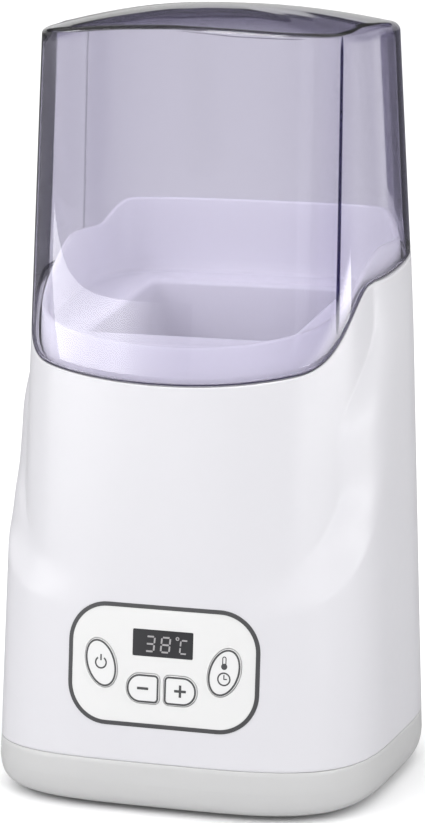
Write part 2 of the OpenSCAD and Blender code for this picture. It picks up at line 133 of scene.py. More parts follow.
def B(f, z, o):
    tx, ty = T(f, z, o)
    ex, ey = E(f, z, o)
    s = swell(z, ty) * (1 - 0.55 * ss((z - 140) / 50))
    return tx + (ex - tx) * s, ty + (ey - ty) * s


def zs_at(x, y):
    return 156.4 + 0.0022 * np.where(y > -10, 65.2, np.minimum(np.abs(x), 65.2)) ** 2 + 24.9 * ss((y + 51.5) / 40) + 9.4 * ss((y + 8.5) / 86)


def zseam(f):
    x, y = T(f, 170.0 + 0 * f, 0)
    x, y = T(f, zs_at(x, y), 0)
    return zs_at(x, y)


def zrim(f):
    x, y = T(f, 185.0 + 0 * f, 3.4)
    return 170 + 0.0027 * np.where(y > 0, 60, np.minimum(np.abs(x), 60)) ** 2 + 22 * ss((y + 45) / 60) + 9.8 * ss((y - 38) / 14)


def W(f, h, n=16):
    r = rho(f, n)
    return h * np.cos(f) * r, WC + h * np.sin(f) * r


def deckz(y):
    return 176 + 0.12 * y


def ring(xy, z):
    return np.stack([xy[0], xy[1], np.broadcast_to(z, xy[0].shape)], -1)


# ------------------------------------------------------------------ mesh helpers
def obj_from(name, verts, faces, mat, body, sharp=32, link=True):
    me = bpy.data.meshes.new(name)
    me.from_pydata([tuple(v) for v in (np.asarray(verts, float) * MM)], [], faces)
    me.validate()
    me.update()
    o = bpy.data.objects.new(name, me)
    bpy.context.scene.collection.objects.link(o)
    finish_mesh(o, sharp)
    if mat is not None:
        me.materials.append(mat)
    if body is not None:
        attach(o, body)
    return o


def finish_mesh(o, sharp=32):
    me = o.data
    me.polygons.foreach_set("use_smooth", [True] * len(me.polygons))
    me.set_sharp_from_angle(angle=math.radians(sharp))
    me.update()


def loft(rings, loop=False, caps=True):
    """Faces through rings of n points each, outward when rings turn counter-clockwise and rise."""
    m, n = len(rings), len(rings[0])
    verts = np.concatenate(rings)
    i = np.arange(m if loop else m - 1)[:, None]
    k = np.arange(n)[None, :]
    q, j = (k + 1) % n, (i + 1) % m
    faces = np.stack([i * n + k, i * n + q, j * n + q, j * n + k], -1).reshape(-1, 4).tolist()
    if not loop and caps:
        verts = np.concatenate([verts, [rings[0].mean(0)], [rings[-1].mean(0)]])
        faces += [[m * n, (a + 1) % n, a] for a in range(n)]
        faces += [[m * n + 1, (m - 1) * n + a, (m - 1) * n + (a + 1) % n] for a in range(n)]
    return verts, faces


def inside(px, py, poly):
    """True for each point that lies in the closed polygon."""
    x, y = poly[:, 0], poly[:, 1]
    x2, y2 = np.roll(x, -1), np.roll(y, -1)
    a = (y[None] > py[:, None]) != (y2[None] > py[:, None])
    with np.errstate(divide="ignore", invalid="ignore"):
        xi = (x2 - x)[None] * (py[:, None] - y[None]) / (y2 - y)[None] + x[None]
    return (np.sum(a & (px[:, None] < xi), 1) % 2) == 1


def triangulate(outline, holes=(), grid=2.0):
    """Even triangles inside outline and outside holes, with every outline point kept."""
    loops = [np.asarray(outline, float)] + [np.asarray(h, float) for h in holes]
    pts, edges = [], []
    for lp in loops:
        s = len(pts)
        pts += [tuple(p) for p in lp]
        edges += [(s + i, s + (i + 1) % len(lp)) for i in range(len(lp))]
    nb = len(pts)
    if grid:
        lo, hi = loops[0].min(0), loops[0].max(0)
        gx, gy = np.meshgrid(np.arange(lo[0] + grid / 2, hi[0], grid), np.arange(lo[1] + grid / 2, hi[1], grid))
        gx, gy = gx.ravel(), gy.ravel()
        ok = inside(gx, gy, loops[0])
        for h in loops[1:]:
            ok &= ~inside(gx, gy, h)
        allb = np.concatenate(loops)
        near = np.min((gx[:, None] - allb[None, :, 0]) ** 2 + (gy[:, None] - allb[None, :, 1]) ** 2, 1) < (0.35 * grid) ** 2
        ok &= ~near
        pts += list(zip(gx[ok], gy[ok]))
    r = delaunay_2d_cdt([Vector(p) for p in pts], edges, [], 0, 1e-6)
    v = np.array([tuple(p) for p in r[0]])
    origin = r[3]
    index = {}
    for new, olds in enumerate(origin):
        for old in olds:
            index[old] = new
    f = []
    for tri in r[2]:
        c = v[list(tri)].mean(0)[None]
        if inside(c[:, 0], c[:, 1], loops[0])[0] and not any(inside(c[:, 0], c[:, 1], h)[0] for h in loops[1:]):
            a, b, d = (v[t] for t in tri)
            if (b[0] - a[0]) * (d[1] - a[1]) - (b[1] - a[1]) * (d[0] - a[0]) < 0:
                tri = list(reversed(tri))
            f.append(list(tri))
    rims, s = [], 0
    for lp in loops:
        rims.append([index[s + i] for i in range(len(lp))])
        s += len(lp)
    return v, f, rims


# the panel's plane: u to the right, v up, d outward from the body's own surface
LEAN = math.atan(0.0846)
PO = np.array([PANEL_X, -(FRONT - 0.0846 * (PANEL_Z - 20)), PANEL_Z])
PU, PV, PN = np.array([1.0, 0, 0]), np.array([0, math.sin(LEAN), math.cos(LEAN)]), np.array([0, -math.cos(LEAN), math.sin(LEAN)])


def front_sag(x, z):
    """How far behind the front plane the body's surface lies at x and height z."""
    lo, hi = np.full_like(x, -math.pi / 2 - 1.2), np.full_like(x, -math.pi / 2 + 1.2)
    for _ in range(40):
        mid = (lo + hi) / 2
        below = B(mid, z, 0)[0] < x
        lo, hi = np.where(below, mid, lo), np.where(below, hi, mid)
    return B((lo + hi) / 2, z, 0)[1] + yf(z)


def on_panel(uv, d, flat=0.0):
    uv = np.asarray(uv, float)
    d = np.broadcast_to(d, uv.shape[:1]).astype(float)
    sag = front_sag(uv[:, 0] + PANEL_X, PANEL_Z + uv[:, 1] * math.cos(LEAN)) * math.cos(LEAN)
    return PO + uv[:, :1] * PU + uv[:, 1:] * PV + (d - sag * (1 - flat))[:, None] * PN


def plate(name, outline, holes, d0, d1, mat, body, grid=2.0, round_r=0.0, sharp=30):
    """A thin plate that follows the front surface between offsets d0 and d1."""
    v, f, rims = triangulate(outline, holes, grid)
    n = len(v)
    verts = np.concatenate([on_panel(v, d1), on_panel(v, d0)])
    faces = [list(t) for t in f] + [[a + n for a in reversed(t)] for t in f]
    for i, rim in enumerate(rims):
        p = v[rim]
        area = np.sum(p[:, 0] * np.roll(p[:, 1], -1) - np.roll(p[:, 0], -1) * p[:, 1])
        ccw = area > 0
        for a, b in zip(rim, rim[1:] + rim[:1]):
            q = [a, a + n, b + n, b] if (ccw == (i == 0)) else [b, b + n, a + n, a]
            faces.append(q)
    return obj_from(name, verts, faces, mat, body, sharp)


def ellipse(a, b, t, cx=0.0, cy=0.0, n=96):
    w = np.arange(n) * 2 * math.pi / n
    c, s, t = a * np.cos(w), b * np.sin(w), math.radians(t)
    return np.stack([cx + c * math.cos(t) - s * math.sin(t), cy + c * math.sin(t) + s * math.cos(t)], -1)


def rrect(w, h, rs, cx=0.0, cy=0.0, n=16):
    r1, r2_, r3, r4 = rs
    out = []
    for x, y, r, a in ((w / 2 - r1, h / 2 - r1, r1, 0), (-w / 2 + r2_, h / 2 - r2_, r2_, 90), (-w / 2 + r3, -h / 2 + r3, r3, 180), (w / 2 - r4, -h / 2 + r4, r4, 270)):
        for i in range(n + 1):
            t = math.radians(a + i * 90 / n)
            out.append((cx + x + r * math.cos(t), cy + y + r * math.sin(t)))
    return np.array(out)


def pill(w, h, r):
    return rrect(w, h, (r, r, r, r))


BX = 23.5


def power_out(g):
    return ellipse(5.9 + g, 9.1 + g, 18, -BX, 0)


def mode_out(g):
    return ellipse(5.9 + g, 9.1 + g, -18, BX, 0)


def minus_out(g):
    return rrect(12.7 + 2 * g, 10.9 + 2 * g, (max(2 + g, 0.3), 5.3 + g, 5.3 + g, max(2 + g, 0.3)), -7.15, -8.1)


def plus_out(g):
    return rrect(12.7 + 2 * g, 10.9 + 2 * g, (5.3 + g, max(2 + g, 0.3), max(2 + g, 0.3), 5.3 + g), 7.15, -8.1)


def window_out(g):
    return rrect(23 + 2 * g, 9.8 + 2 * g, (0.5, 0.5, 0.5, 0.5), 0, 8.6, 4)


# ------------------------------------------------------------------ materials
def nodes_of(name):
    m = bpy.data.materials.new(name)
    m.use_nodes = True
    nt = m.node_tree
    nt.nodes.clear()
    out = nt.nodes.new("ShaderNodeOutputMaterial")
    p = nt.nodes.new("ShaderNodeBsdfPrincipled")
    nt.links.new(p.outputs[0], out.inputs[0])
    return m, nt, p, out


def moulded(name, colour, rough=0.3, vary=0.012, bump=0.02, scale=260.0, fine=1400.0, coat=0.0, spec=0.5, sub=0.0, metallic=0.0, rough_vary=0.05):
    """Moulded or painted surface: faint cloudiness in the colour, uneven gloss, and a very fine texture."""
    m, nt, p, out = nodes_of(name)
    tc = nt.nodes.new("ShaderNodeTexCoord")
    n1 = nt.nodes.new("ShaderNodeTexNoise")
    n1.inputs["Scale"].default_value = scale * 0.12
    n1.inputs["Detail"].default_value = 3
    nt.links.new(tc.outputs["Object"], n1.inputs["Vector"])
    mix = nt.nodes.new("ShaderNodeMix")
    mix.data_type = "RGBA"
    a = [max(0.0, c * (1 - vary)) for c in colour]
    b = [min(1.0, c * (1 + vary)) for c in colour]
    mix.inputs[6].default_value = (*a, 1)
    mix.inputs[7].default_value = (*b, 1)
    nt.links.new(n1.outputs[0], mix.inputs[0])
    nt.links.new(mix.outputs[2], p.inputs["Base Color"])
    n2 = nt.nodes.new("ShaderNodeTexNoise")
    n2.inputs["Scale"].default_value = scale
    n2.inputs["Detail"].default_value = 4
    nt.links.new(tc.outputs["Object"], n2.inputs["Vector"])
    mr = nt.nodes.new("ShaderNodeMapRange")
    mr.inputs["To Min"].default_value = max(0.02, rough - rough_vary)
    mr.inputs["To Max"].default_value = min(1.0, rough + rough_vary)
    nt.links.new(n2.outputs[0], mr.inputs["Value"])
    nt.links.new(mr.outputs[0], p.inputs["Roughness"])
    if bump:
        n3 = nt.nodes.new("ShaderNodeTexNoise")
        n3.inputs["Scale"].default_value = fine
        n3.inputs["Detail"].default_value = 2
        nt.links.new(tc.outputs["Object"], n3.inputs["Vector"])
        bp = nt.nodes.new("ShaderNodeBump")
        bp.inputs["Strength"].default_value = bump
        bp.inputs["Distance"].default_value = 0.0002
        nt.links.new(n3.outputs[0], bp.inputs["Height"])
        nt.links.new(bp.outputs[0], p.inputs["Normal"])
    p.inputs["Specular IOR Level"].default_value = spec
    p.inputs["Metallic"].default_value = metallic
    if coat:
        p.inputs["Coat Weight"].default_value = coat
        p.inputs["Coat Roughness"].default_value = 0.05
    if sub:
        p.inputs["Subsurface Weight"].default_value = sub
        p.inputs["Subsurface Radius"].default_value = (0.004, 0.003, 0.003)
        p.inputs["Subsurface Scale"].default_value = 0.3
    return m


def brushed(name, colour, rough=0.32, axis="Z", scale=900.0):
    m = moulded(name, colour, rough, vary=0.05, bump=0.0, scale=scale, metallic=1.0, rough_vary=0.1)
    nt = m.node_tree
    p = next(n for n in nt.nodes if n.type == "BSDF_PRINCIPLED")
    tc = next(n for n in nt.nodes if n.type == "TEX_COORD")
    mp = nt.nodes.new("ShaderNodeMapping")
    s = {"X": (0.03, 1, 1), "Y": (1, 0.03, 1), "Z": (1, 1, 0.03)}[axis]
    mp.inputs["Scale"].default_value = s
    nt.links.new(tc.outputs["Object"], mp.inputs["Vector"])
    n = nt.nodes.new("ShaderNodeTexNoise")
    n.inputs["Scale"].default_value = 3000
    nt.links.new(mp.outputs[0], n.inputs["Vector"])
    bp = nt.nodes.new("ShaderNodeBump")
    bp.inputs["Strength"].default_value = 0.15
    bp.inputs["Distance"].default_value = 0.0001
    nt.links.new(n.outputs[0], bp.inputs["Height"])
    nt.links.new(bp.outputs[0], p.inputs["Normal"])
    return m


def felt(name, colour):
    m = moulded(name, colour, 0.92, vary=0.18, bump=0.0, scale=700.0, spec=0.2)
    nt = m.node_tree
    p = next(n for n in nt.nodes if n.type == "BSDF_PRINCIPLED")
    tc = next(n for n in nt.nodes if n.type == "TEX_COORD")
    v = nt.nodes.new("ShaderNodeTexVoronoi")
    v.inputs["Scale"].default_value = 1500
    nt.links.new(tc.outputs["Object"], v.inputs["Vector"])
    bp = nt.nodes.new("ShaderNodeBump")
    bp.inputs["Strength"].default_value = 0.5
    bp.inputs["Distance"].default_value = 0.0004
    nt.links.new(v.outputs[0], bp.inputs["Height"])
    nt.links.new(bp.outputs[0], p.inputs["Normal"])
    return m


def striped(name, c1, c2, axis, pitch_mm, rough=0.5, width=0.5):
    """Even stripes, as on a ribbon cable, a wound core or a board's tracks."""
    m = moulded(name, c1, rough, vary=0.03, bump=0.0, scale=500.0)
    nt = m.node_tree
    p = next(n for n in nt.nodes if n.type == "BSDF_PRINCIPLED")
    tc = next(n for n in nt.nodes if n.type == "TEX_COORD")
    w = nt.nodes.new("ShaderNodeTexWave")
    w.wave_type = "BANDS"
    w.bands_direction = axis
    w.inputs["Scale"].default_value = 0.314 / (pitch_mm * MM)
    w.inputs["Distortion"].default_value = 0.0
    nt.links.new(tc.outputs["Object"], w.inputs["Vector"])
    ramp = nt.nodes.new("ShaderNodeValToRGB")
    ramp.color_ramp.interpolation = "EASE"
    ramp.color_ramp.elements[0].position = max(0.0, width - 0.08)
    ramp.color_ramp.elements[1].position = min(1.0, width + 0.08)
    ramp.color_ramp.elements[0].color = (*c1, 1)
    ramp.color_ramp.elements[1].color = (*c2, 1)
    nt.links.new(w.outputs["Fac"], ramp.inputs[0])
    nt.links.new(ramp.outputs[0], p.inputs["Base Color"])
    bp = nt.nodes.new("ShaderNodeBump")
    bp.inputs["Strength"].default_value = 0.4
    bp.inputs["Distance"].default_value = 0.0002
    nt.links.new(w.outputs["Fac"], bp.inputs["Height"])
    nt.links.new(bp.outputs[0], p.inputs["Normal"])
    return m


def board(name):
    """Green solder mask with faint tracks under it."""
    m = moulded(name, (0.03, 0.2, 0.09), 0.3, vary=0.1, bump=0.0, scale=300.0, coat=0.3)
    nt = m.node_tree
    p = next(n for n in nt.nodes if n.type == "BSDF_PRINCIPLED")
    tc = next(n for n in nt.nodes if n.type == "TEX_COORD")
    br = nt.nodes.new("ShaderNodeTexBrick")
    br.inputs["Scale"].default_value = 260
    br.inputs["Mortar Size"].default_value = 0.09
    br.inputs["Color1"].default_value = (0.025, 0.17, 0.075, 1)
    br.inputs["Color2"].default_value = (0.03, 0.22, 0.10, 1)
    br.inputs["Mortar"].default_value = (0.06, 0.33, 0.15, 1)
    nt.links.new(tc.outputs["Object"], br.inputs["Vector"])
    nt.links.new(br.outputs["Color"], p.inputs["Base Color"])
    return m


def smoky(name, colour=(0.50, 0.475, 0.60), density=370.0, ior=1.03, coat=0.6, alpha=1.0):
    """Clear smoky moulding: a tinted volume, so that thick edges go darker than the walls."""
    m, nt, p, out = nodes_of(name)
    p.inputs["Base Color"].default_value = (1, 1, 1, 1)
    p.inputs["Transmission Weight"].default_value = 1.0
    p.inputs["IOR"].default_value = ior
    p.inputs["Alpha"].default_value = alpha
    p.inputs["Coat Weight"].default_value = coat
    p.inputs["Coat Roughness"].default_value = 0.01
    tc = nt.nodes.new("ShaderNodeTexCoord")
    n2 = nt.nodes.new("ShaderNodeTexNoise")
    n2.inputs["Scale"].default_value = 60
    nt.links.new(tc.outputs["Object"], n2.inputs["Vector"])
    mr = nt.nodes.new("ShaderNodeMapRange")
    mr.inputs["To Min"].default_value = 0.0
    mr.inputs["To Max"].default_value = 0.03
    nt.links.new(n2.outputs[0], mr.inputs["Value"])
    nt.links.new(mr.outputs[0], p.inputs["Roughness"])
    va = nt.nodes.new("ShaderNodeVolumeAbsorption")
    va.inputs["Color"].default_value = (*colour, 1)
    va.inputs["Density"].default_value = density
    nt.links.new(va.outputs[0], out.inputs["Volume"])
    return m


M = {
    "shell": moulded("shell_white", (0.562, 0.557, 0.585), 0.31, vary=0.008, bump=0.015, spec=0.5),
    "tray": moulded("tray_grey", (0.46, 0.46, 0.462), 0.34, vary=0.012, bump=0.05),
    "liner": moulded("liner_white", (0.77, 0.76, 0.805), 0.25, vary=0.008, bump=0.015),
    "rubber": moulded("rubber_dark", (0.03, 0.03, 0.032), 0.8, vary=0.15, bump=0.25, spec=0.3),
    "steel": brushed("steel_screw", (0.62, 0.62, 0.64)),
    "foil": brushed("heater_foil", (0.75, 0.72, 0.66), 0.4, "Z"),
    "felt": felt("insulation_felt", (0.42, 0.42, 0.44)),
    "sensor": moulded("sensor_black", (0.02, 0.02, 0.02), 0.5, vary=0.1, bump=0.1),
    "clip": brushed("clip_steel", (0.58, 0.58, 0.60), 0.35, "Y"),
    "ceramic": moulded("fuse_ceramic", (0.80, 0.76, 0.66), 0.35, vary=0.05, bump=0.05),
    "film": moulded("panel_white", (0.615, 0.615, 0.615), 0.38, vary=0.006, bump=0.04, scale=500),
    "ink": moulded("trim_grey", (0.045, 0.045, 0.048), 0.42, vary=0.06, bump=0.05, scale=500),
    "window": moulded("window_dark", (0.035, 0.035, 0.038), 0.12, vary=0.05, bump=0.0, coat=0.5),
    "digit": moulded("digit_grey", (0.30, 0.29, 0.30), 0.4, vary=0.05, bump=0.0),
    "module": moulded("module_black", (0.02, 0.02, 0.02), 0.5, vary=0.1, bump=0.1),
    "board": board("board_green"),
    "black": moulded("switch_black", (0.025, 0.025, 0.025), 0.45, vary=0.1, bump=0.15),
    "button": moulded("button_white", (0.635, 0.635, 0.637), 0.3, vary=0.006, bump=0.02),
    "tape": striped("transformer_tape", (0.78, 0.6, 0.12), (0.62, 0.44, 0.07), "Z", 0.9, 0.4),
    "relay": moulded("relay_blue", (0.05, 0.13, 0.36), 0.35, vary=0.05, bump=0.05),
    "sleeve": moulded("capacitor_sleeve", (0.03, 0.035, 0.09), 0.25, vary=0.05, bump=0.0, coat=0.4),
    "term": moulded("terminal_green", (0.05, 0.24, 0.10), 0.42, vary=0.06, bump=0.1),
    "header": moulded("header_ivory", (0.78, 0.75, 0.66), 0.45, vary=0.04, bump=0.1),
    "ribbon": striped("ribbon_grey", (0.42, 0.42, 0.44), (0.25, 0.25, 0.27), "X", 1.27, 0.5),
    "lead_red": moulded("lead_red", (0.42, 0.03, 0.025), 0.42, vary=0.1, bump=0.1),
    "lead_white": striped("lead_white", (0.66, 0.65, 0.61), (0.52, 0.51, 0.47), "Z", 0.8, 0.7),
    "gland": moulded("gland_grey", (0.58, 0.58, 0.575), 0.38, vary=0.03, bump=0.1),
    "smoke": smoky("lid_smoke"),
    # painted shade: opaque dark edge for the shadow and refraction line at the cover's seam
    "lip": moulded("lid_edge_painted_shade", (0.035, 0.03, 0.06), 0.16, vary=0.1, bump=0.0, coat=0.5),
    # painted shade: dark absorbing volume for the refraction lines at the cover's corners
    "crease_shade": smoky("lid_crease_painted_shade", (0.15, 0.12, 0.37), 2600.0, 1.0, 0.0, 0.0),
    # painted shade: grey absorbing volume for the dark refraction strips of the cover
    "tint": smoky("lid_painted_shade", (0.45, 0.45, 0.47), 1350.0, 1.0, 0.0, 0.0),
    # painted shade: dark absorbing volume for the refraction line along the cover's top edge
    "brow_shade": smoky("lid_brow_painted_shade", (0.10, 0.09, 0.16), 2800.0, 1.0, 0.0, 0.0),
}
CAD_MATS = {
    "base_screws": "steel", "liner_screws": "steel", "board_screws": "steel", "power_board_screws": "steel",
    "rubber_feet": "rubber", "heater_wrap": "foil", "insulation_sleeve": "felt", "ntc_sensor": "sensor",
    "sensor_clip": "clip", "thermal_fuse": "ceramic", "fuse_clip": "clip", "display_module": "module",
    "control_board": "board", "tact_switches": "black", "controller_chip": "black", "buzzer": "black",
    "power_board": "board", "transformer": "tape", "relay": "relay", "capacitor": "sleeve",
    "mains_fuse": "ceramic", "terminal_block": "term", "lead_header": "header", "ribbon_lead": "ribbon",
    "heater_leads": "lead_red", "fuse_leads": "lead_white", "sensor_leads": "sensor", "cord_gland": "gland",
    "gland_clamp": "black", "outer_shell": "shell", "base_tray": "tray", "inner_liner": "liner",
    "panel_plate": "film", "panel_trim": "ink", "display_window": "window", "power_button": "button",
    "minus_button": "button", "plus_button": "button", "mode_button": "button", "lid": "smoke",
}
for name, key in CAD_MATS.items():
    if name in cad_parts:
        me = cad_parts[name].data
        me.materials.clear()
        me.materials.append(M[key])


def boolean(o, cutter):
    mod = o.modifiers.new("cut", "BOOLEAN")
    mod.operation = "DIFFERENCE"
    mod.solver = "EXACT"
    mod.object = cutter
    bpy.context.view_layer.update()
    dg = bpy.context.evaluated_depsgraph_get()
    me = bpy.data.meshes.new_from_object(o.evaluated_get(dg))
    o.modifiers.clear()
    old = o.data
    o.data = me
    bpy.data.meshes.remove(old)
    bpy.data.objects.remove(cutter)
    return o


# ------------------------------------------------------------------ outer shell
ZS = zseam(PHI)


def shell_ring(z, o):
    return ring(B(PHI, z, o), z)


lower = TRAY_H
outer = []
for dz, o in ((0.0, 0.45), (0.12, 0.16), (0.45, 0.0)):
    outer.append(shell_ring(np.full(N, lower + dz), o))
hs = np.linspace(0, 1, 171)[1:]
for h in hs[:-1]:
    outer.append(shell_ring(lower + 0.45 + (ZS - 0.5 - lower - 0.45) * h, 0))
for dz, o in ((0.5, 0.0), (0.18, 0.12), (0.0, 0.45), (0.0, 1.6), (0.2, WALL)):
    outer.append(shell_ring(ZS - dz, o))
for h in np.linspace(0, 1, 24)[1:]:
    outer.append(shell_ring(ZS - 0.2 + (lower - ZS + 0.2) * h, WALL))
v, f = loft(outer, loop=True)
shell = obj_from("body_shell", v, f, M["shell"], None, 34)
cv = pill(PANEL_W + 0.1, PANEL_H + 0.1, 15.05)
cv3 = np.concatenate([PO + cv[:, :1] * PU + cv[:, 1:] * PV - 8 * PN, PO + cv[:, :1] * PU + cv[:, 1:] * PV + 6 * PN])
k = len(cv)
cutter = obj_from("cutter", cv3, [list(range(k))[::-1], list(range(k, 2 * k))] + [[i, (i + 1) % k, (i + 1) % k + k, i + k] for i in range(k)], None, None)
boolean(shell, cutter)
gp = pill(11.2, 11.2, 1.6)
gk = len(gp)
gv = np.concatenate([np.stack([gp[:, 0], np.full(gk, yy), 31 + gp[:, 1]], -1) for yy in (60.0, 74.0)])
cutter = obj_from("cutter2", gv, [list(range(gk)), list(range(gk, 2 * gk))[::-1]] + [[i + gk, (i + 1) % gk + gk, (i + 1) % gk, i] for i in range(gk)], None, None)
boolean(shell, cutter)
finish_mesh(shell, 34)
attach(shell, "base")
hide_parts("outer_shell")

# ------------------------------------------------------------------ base tray
TZ0 = 1.2


def tray_ring(z, o):
    zz = np.full(N, max(z, 12.0))
    x, y = E(PHI, zz, o)
    return ring((x, y), z)


prof = []
R1 = 9.5
for i in range(15):
    a = math.radians(90 * i / 14)
    zz = TZ0 + 8.2 * (1 - math.cos(a)) ** 1.0
    prof.append((zz, R1 * (1 - math.sin(a)) ** 1.0))
profile = [(TZ0, 9.5)]
# fillet through the CAD's own steps, drawn smooth
kn_z = np.array([0, 0.55, 1.9, 4.2, 7.2, 10.5]) + TZ0
kn_o = np.array([9.5, 6.0, 3.2, 1.3, 0.35, 0.0])
ts = np.linspace(0, 5, 26)


def catmull(k, t):
    i = np.clip(np.floor(t).astype(int), 0, len(k) - 2)
    u = t - i
    p0, p1, p2, p3 = k[np.maximum(i - 1, 0)], k[i], k[i + 1], k[np.minimum(i + 2, len(k) - 1)]
    return 0.5 * ((2 * p1) + (-p0 + p2) * u + (2 * p0 - 5 * p1 + 4 * p2 - p3) * u**2 + (-p0 + 3 * p1 - 3 * p2 + p3) * u**3)


fz, fo = np.maximum(catmull(kn_z, ts), TZ0), np.maximum(catmull(kn_o, ts), 0)
rings = [tray_ring(TZ0, o) for o in (60, 40, 25, 15, 10.6)]
rings += [tray_ring(z, o) for z, o in zip(fz, fo)]
rings += [tray_ring(z, 0) for z in (13.5, 15.5, 17.5, 19.2)]
rings += [tray_ring(19.48, 0.13), tray_ring(19.6, 0.42), tray_ring(19.6, WALL), tray_ring(14, WALL + 0.3), tray_ring(9, WALL + 0.6), tray_ring(5.5, 4.2), tray_ring(TZ0 + 2.4, 7.5)]
rings += [tray_ring(TZ0 + 2.4, o) for o in (20, 40, 60)]
v, f = loft(rings)
tray = obj_from("tray_moulding", v, f, M["tray"], None, 34)
FOOT = [(40, 50), (-40, 50), (40, -48), (-40, -48)]
POST = [(54, 46), (-54, 46), (54, -42), (-54, -42)]
STAND = [(30, 33), (-30, 33), (30, -27), (-30, -27)]
cv, cf = [], []


def add_cyl(x, y, r, z0, z1, n=40):
    s = len(cv)
    for zz in (z0, z1):
        for i in range(n):
            cv.append((x + r * math.cos(2 * math.pi * i / n), y + r * math.sin(2 * math.pi * i / n), zz))
    cf.append([s + i for i in range(n)][::-1])
    cf.append([s + n + i for i in range(n)])
    for i in range(n):
        cf.append([s + i, s + (i + 1) % n, s + n + (i + 1) % n, s + n + i])


def add_box(x0, y0, z0, x1, y1, z1):
    s = len(cv)
    cv.extend([(x0, y0, z0), (x1, y0, z0), (x1, y1, z0), (x0, y1, z0), (x0, y0, z1), (x1, y0, z1), (x1, y1, z1), (x0, y1, z1)])
    cf.extend([[s + i for i in q] for q in ([3, 2, 1, 0], [4, 5, 6, 7], [0, 1, 5, 4], [1, 2, 6, 5], [2, 3, 7, 6], [3, 0, 4, 7])])


for x, y in FOOT:
    add_cyl(x, y, 6.1, -1, 2.4, 64)
for x, y in POST:
    add_cyl(x, y, 3.1, -1, 9)
for x, y in STAND:
    add_cyl(x, y, 2.9, -1, 9)
for i in range(-3, 4):
    add_box(i * 7 - 1, -6, -1, i * 7 + 1, 12, 8)
boolean(tray, obj_from("cutter3", cv, cf, None, None))
# sleeves round the screws and posts inside
cv, cf = [], []
tv, tf = [], []


def tube(x, y, r_in, r_out, z0, z1, n=40):
    s = len(tv)
    for r, zz in ((r_out, z0), (r_out, z1), (r_in, z1), (r_in, z0)):
        for i in range(n):
            tv.append((x + r * math.cos(2 * math.pi * i / n), y + r * math.sin(2 * math.pi * i / n), zz))
    for a in range(4):
        b = (a + 1) % 4
        for i in range(n):
            tf.append([s + a * n + i, s + a * n + (i + 1) % n, s + b * n + (i + 1) % n, s + b * n + i])


for x, y in POST:
    tube(x, y, 3.1, 4.2, 2.6, 11)
    tube(x, y, 1.7, 4.2, 11, 19.55)
for x, y in STAND:
    tube(x, y, 2.9, 4.0, 3.4, 14)
    tube(x, y, 1.7, 4.0, 14, 22)
posts = obj_from("tray_posts", tv, tf, M["tray"], "base", 30)
finish_mesh(tray, 34)
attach(tray, "base")
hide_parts("base_tray")
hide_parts("base_tray")

# ------------------------------------------------------------------ liner: collar, dish and well
ZR = zrim(PHI)
ZL = np.minimum(ZS - 12, deckz(T(PHI, np.full(N, 176.0), CO)[1]) - 7)


def wring(h, z):
    return ring(W(PHI, h), z)


def wdeck(h, dz):
    x, y = W(PHI, h)
    return np.stack([x, y, deckz(y) + dz], -1)


def tlev(o, z):
    return ring(T(PHI, z, o), z)


def tdeck(o, dz):
    x, y = T(PHI, np.full(N, 176.0), o)
    return np.stack([x, y, deckz(y) + dz], -1)


def tin(o, h):
    y0 = T(PHI, np.full(N, 176.0), o)[1]
    zd = deckz(y0)
    z = ZR - 0.6 + (np.minimum(zd + 1.4, ZR - 0.9) - ZR + 0.6) * h
    return tlev(o, z)


hw = WELL_W / 2
rings = [wring(hw - 1, WELL_FLOOR - 2), wring(hw + 1.2, WELL_FLOOR - 1.2), wring(hw + 1.9, WELL_FLOOR + 2), wring(hw + 2, WELL_FLOOR + 6)]
rings += [wring(hw + 2, z) for z in (60, 90, 120, 150)]
rings += [wdeck(hw + 2, -4.4), wdeck(hw + 3.4, -2.3), tdeck(CO + CW + 1, -2.3), tlev(CO + CW, ZL), tlev(CO, ZL), tlev(CO, ZL + 7), tlev(CO, ZL + 14)]
for h in (0.25, 0.5, 0.75):
    rings.append(tlev(CO, ZL + 14 + (ZR - 1.1 - ZL - 14) * h))
for a in range(0, 181, 20):
    c, s = math.cos(math.radians(a)), math.sin(math.radians(a))
    rings.append(tlev(CO + 1.1 - 1.1 * c, ZR - 1.1 + 1.1 * s))
for h in (0.12, 0.3, 0.5, 0.7, 0.86):
    rings.append(tin(CO + CW + 0.1 + 0.4 * h, h))
# fillet from the collar's wall into the dish
for h in np.linspace(0, 1, 9)[1:]:
    a = h * math.pi / 2
    t0 = tin(CO + CW + 0.5, 1.0)
    t1 = tdeck(CO + CW + 4.0, 0.0)
    p = t0.copy()
    p[:, :2] = t0[:, :2] + (t1[:, :2] - t0[:, :2]) * (1 - math.cos(a))
    p[:, 2] = t0[:, 2] + (t1[:, 2] - t0[:, 2]) * math.sin(a)
    rings.append(p)
tt, w0 = tdeck(CO + CW + 4.0, 0.0), wdeck(hw + 2.2, 0)
for h in (0.25, 0.5, 0.75):
    rings.append(tt + (w0 - tt) * h)
for a in range(0, 91, 15):
    c, s = math.cos(math.radians(a)), math.sin(math.radians(a))
    rings.append(wdeck(hw + 2.2 - 2.2 * s, -2.2 * (1 - c)))
rings += [wring(hw + 0.25 - 0.03 * i, z) for i, z in enumerate((160, 140, 120, 100, 80, 60, 45, 36))]
for a in range(0, 91, 15):
    c, s = math.cos(math.radians(a)), math.sin(math.radians(a))
    rings.append(wring(hw + 0.02 - 1.2 * (1 - c), WELL_FLOOR + 1.2 - 1.2 * s))
rings += [wring(h, WELL_FLOOR) for h in (28, 18, 8)]
v, f = loft(rings)
liner = obj_from("liner_moulding", v, f, M["liner"], "base", 38)
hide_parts("inner_liner")

# ------------------------------------------------------------------ cover
T_FRONT, T_LEFT, T_SIDE, T_CORNER, T_FREE, T_REAR = 2.2, 0.7, 1.0, 2.4, 2.4, 1.7


def fore(f):
    """1 round the front and its two corners, 0 at the sides and the rear."""
    return ss((-np.sin(f) - 0.08) / 0.4)


def er(f):
    return 4.0 - 1.7 * fore(f)


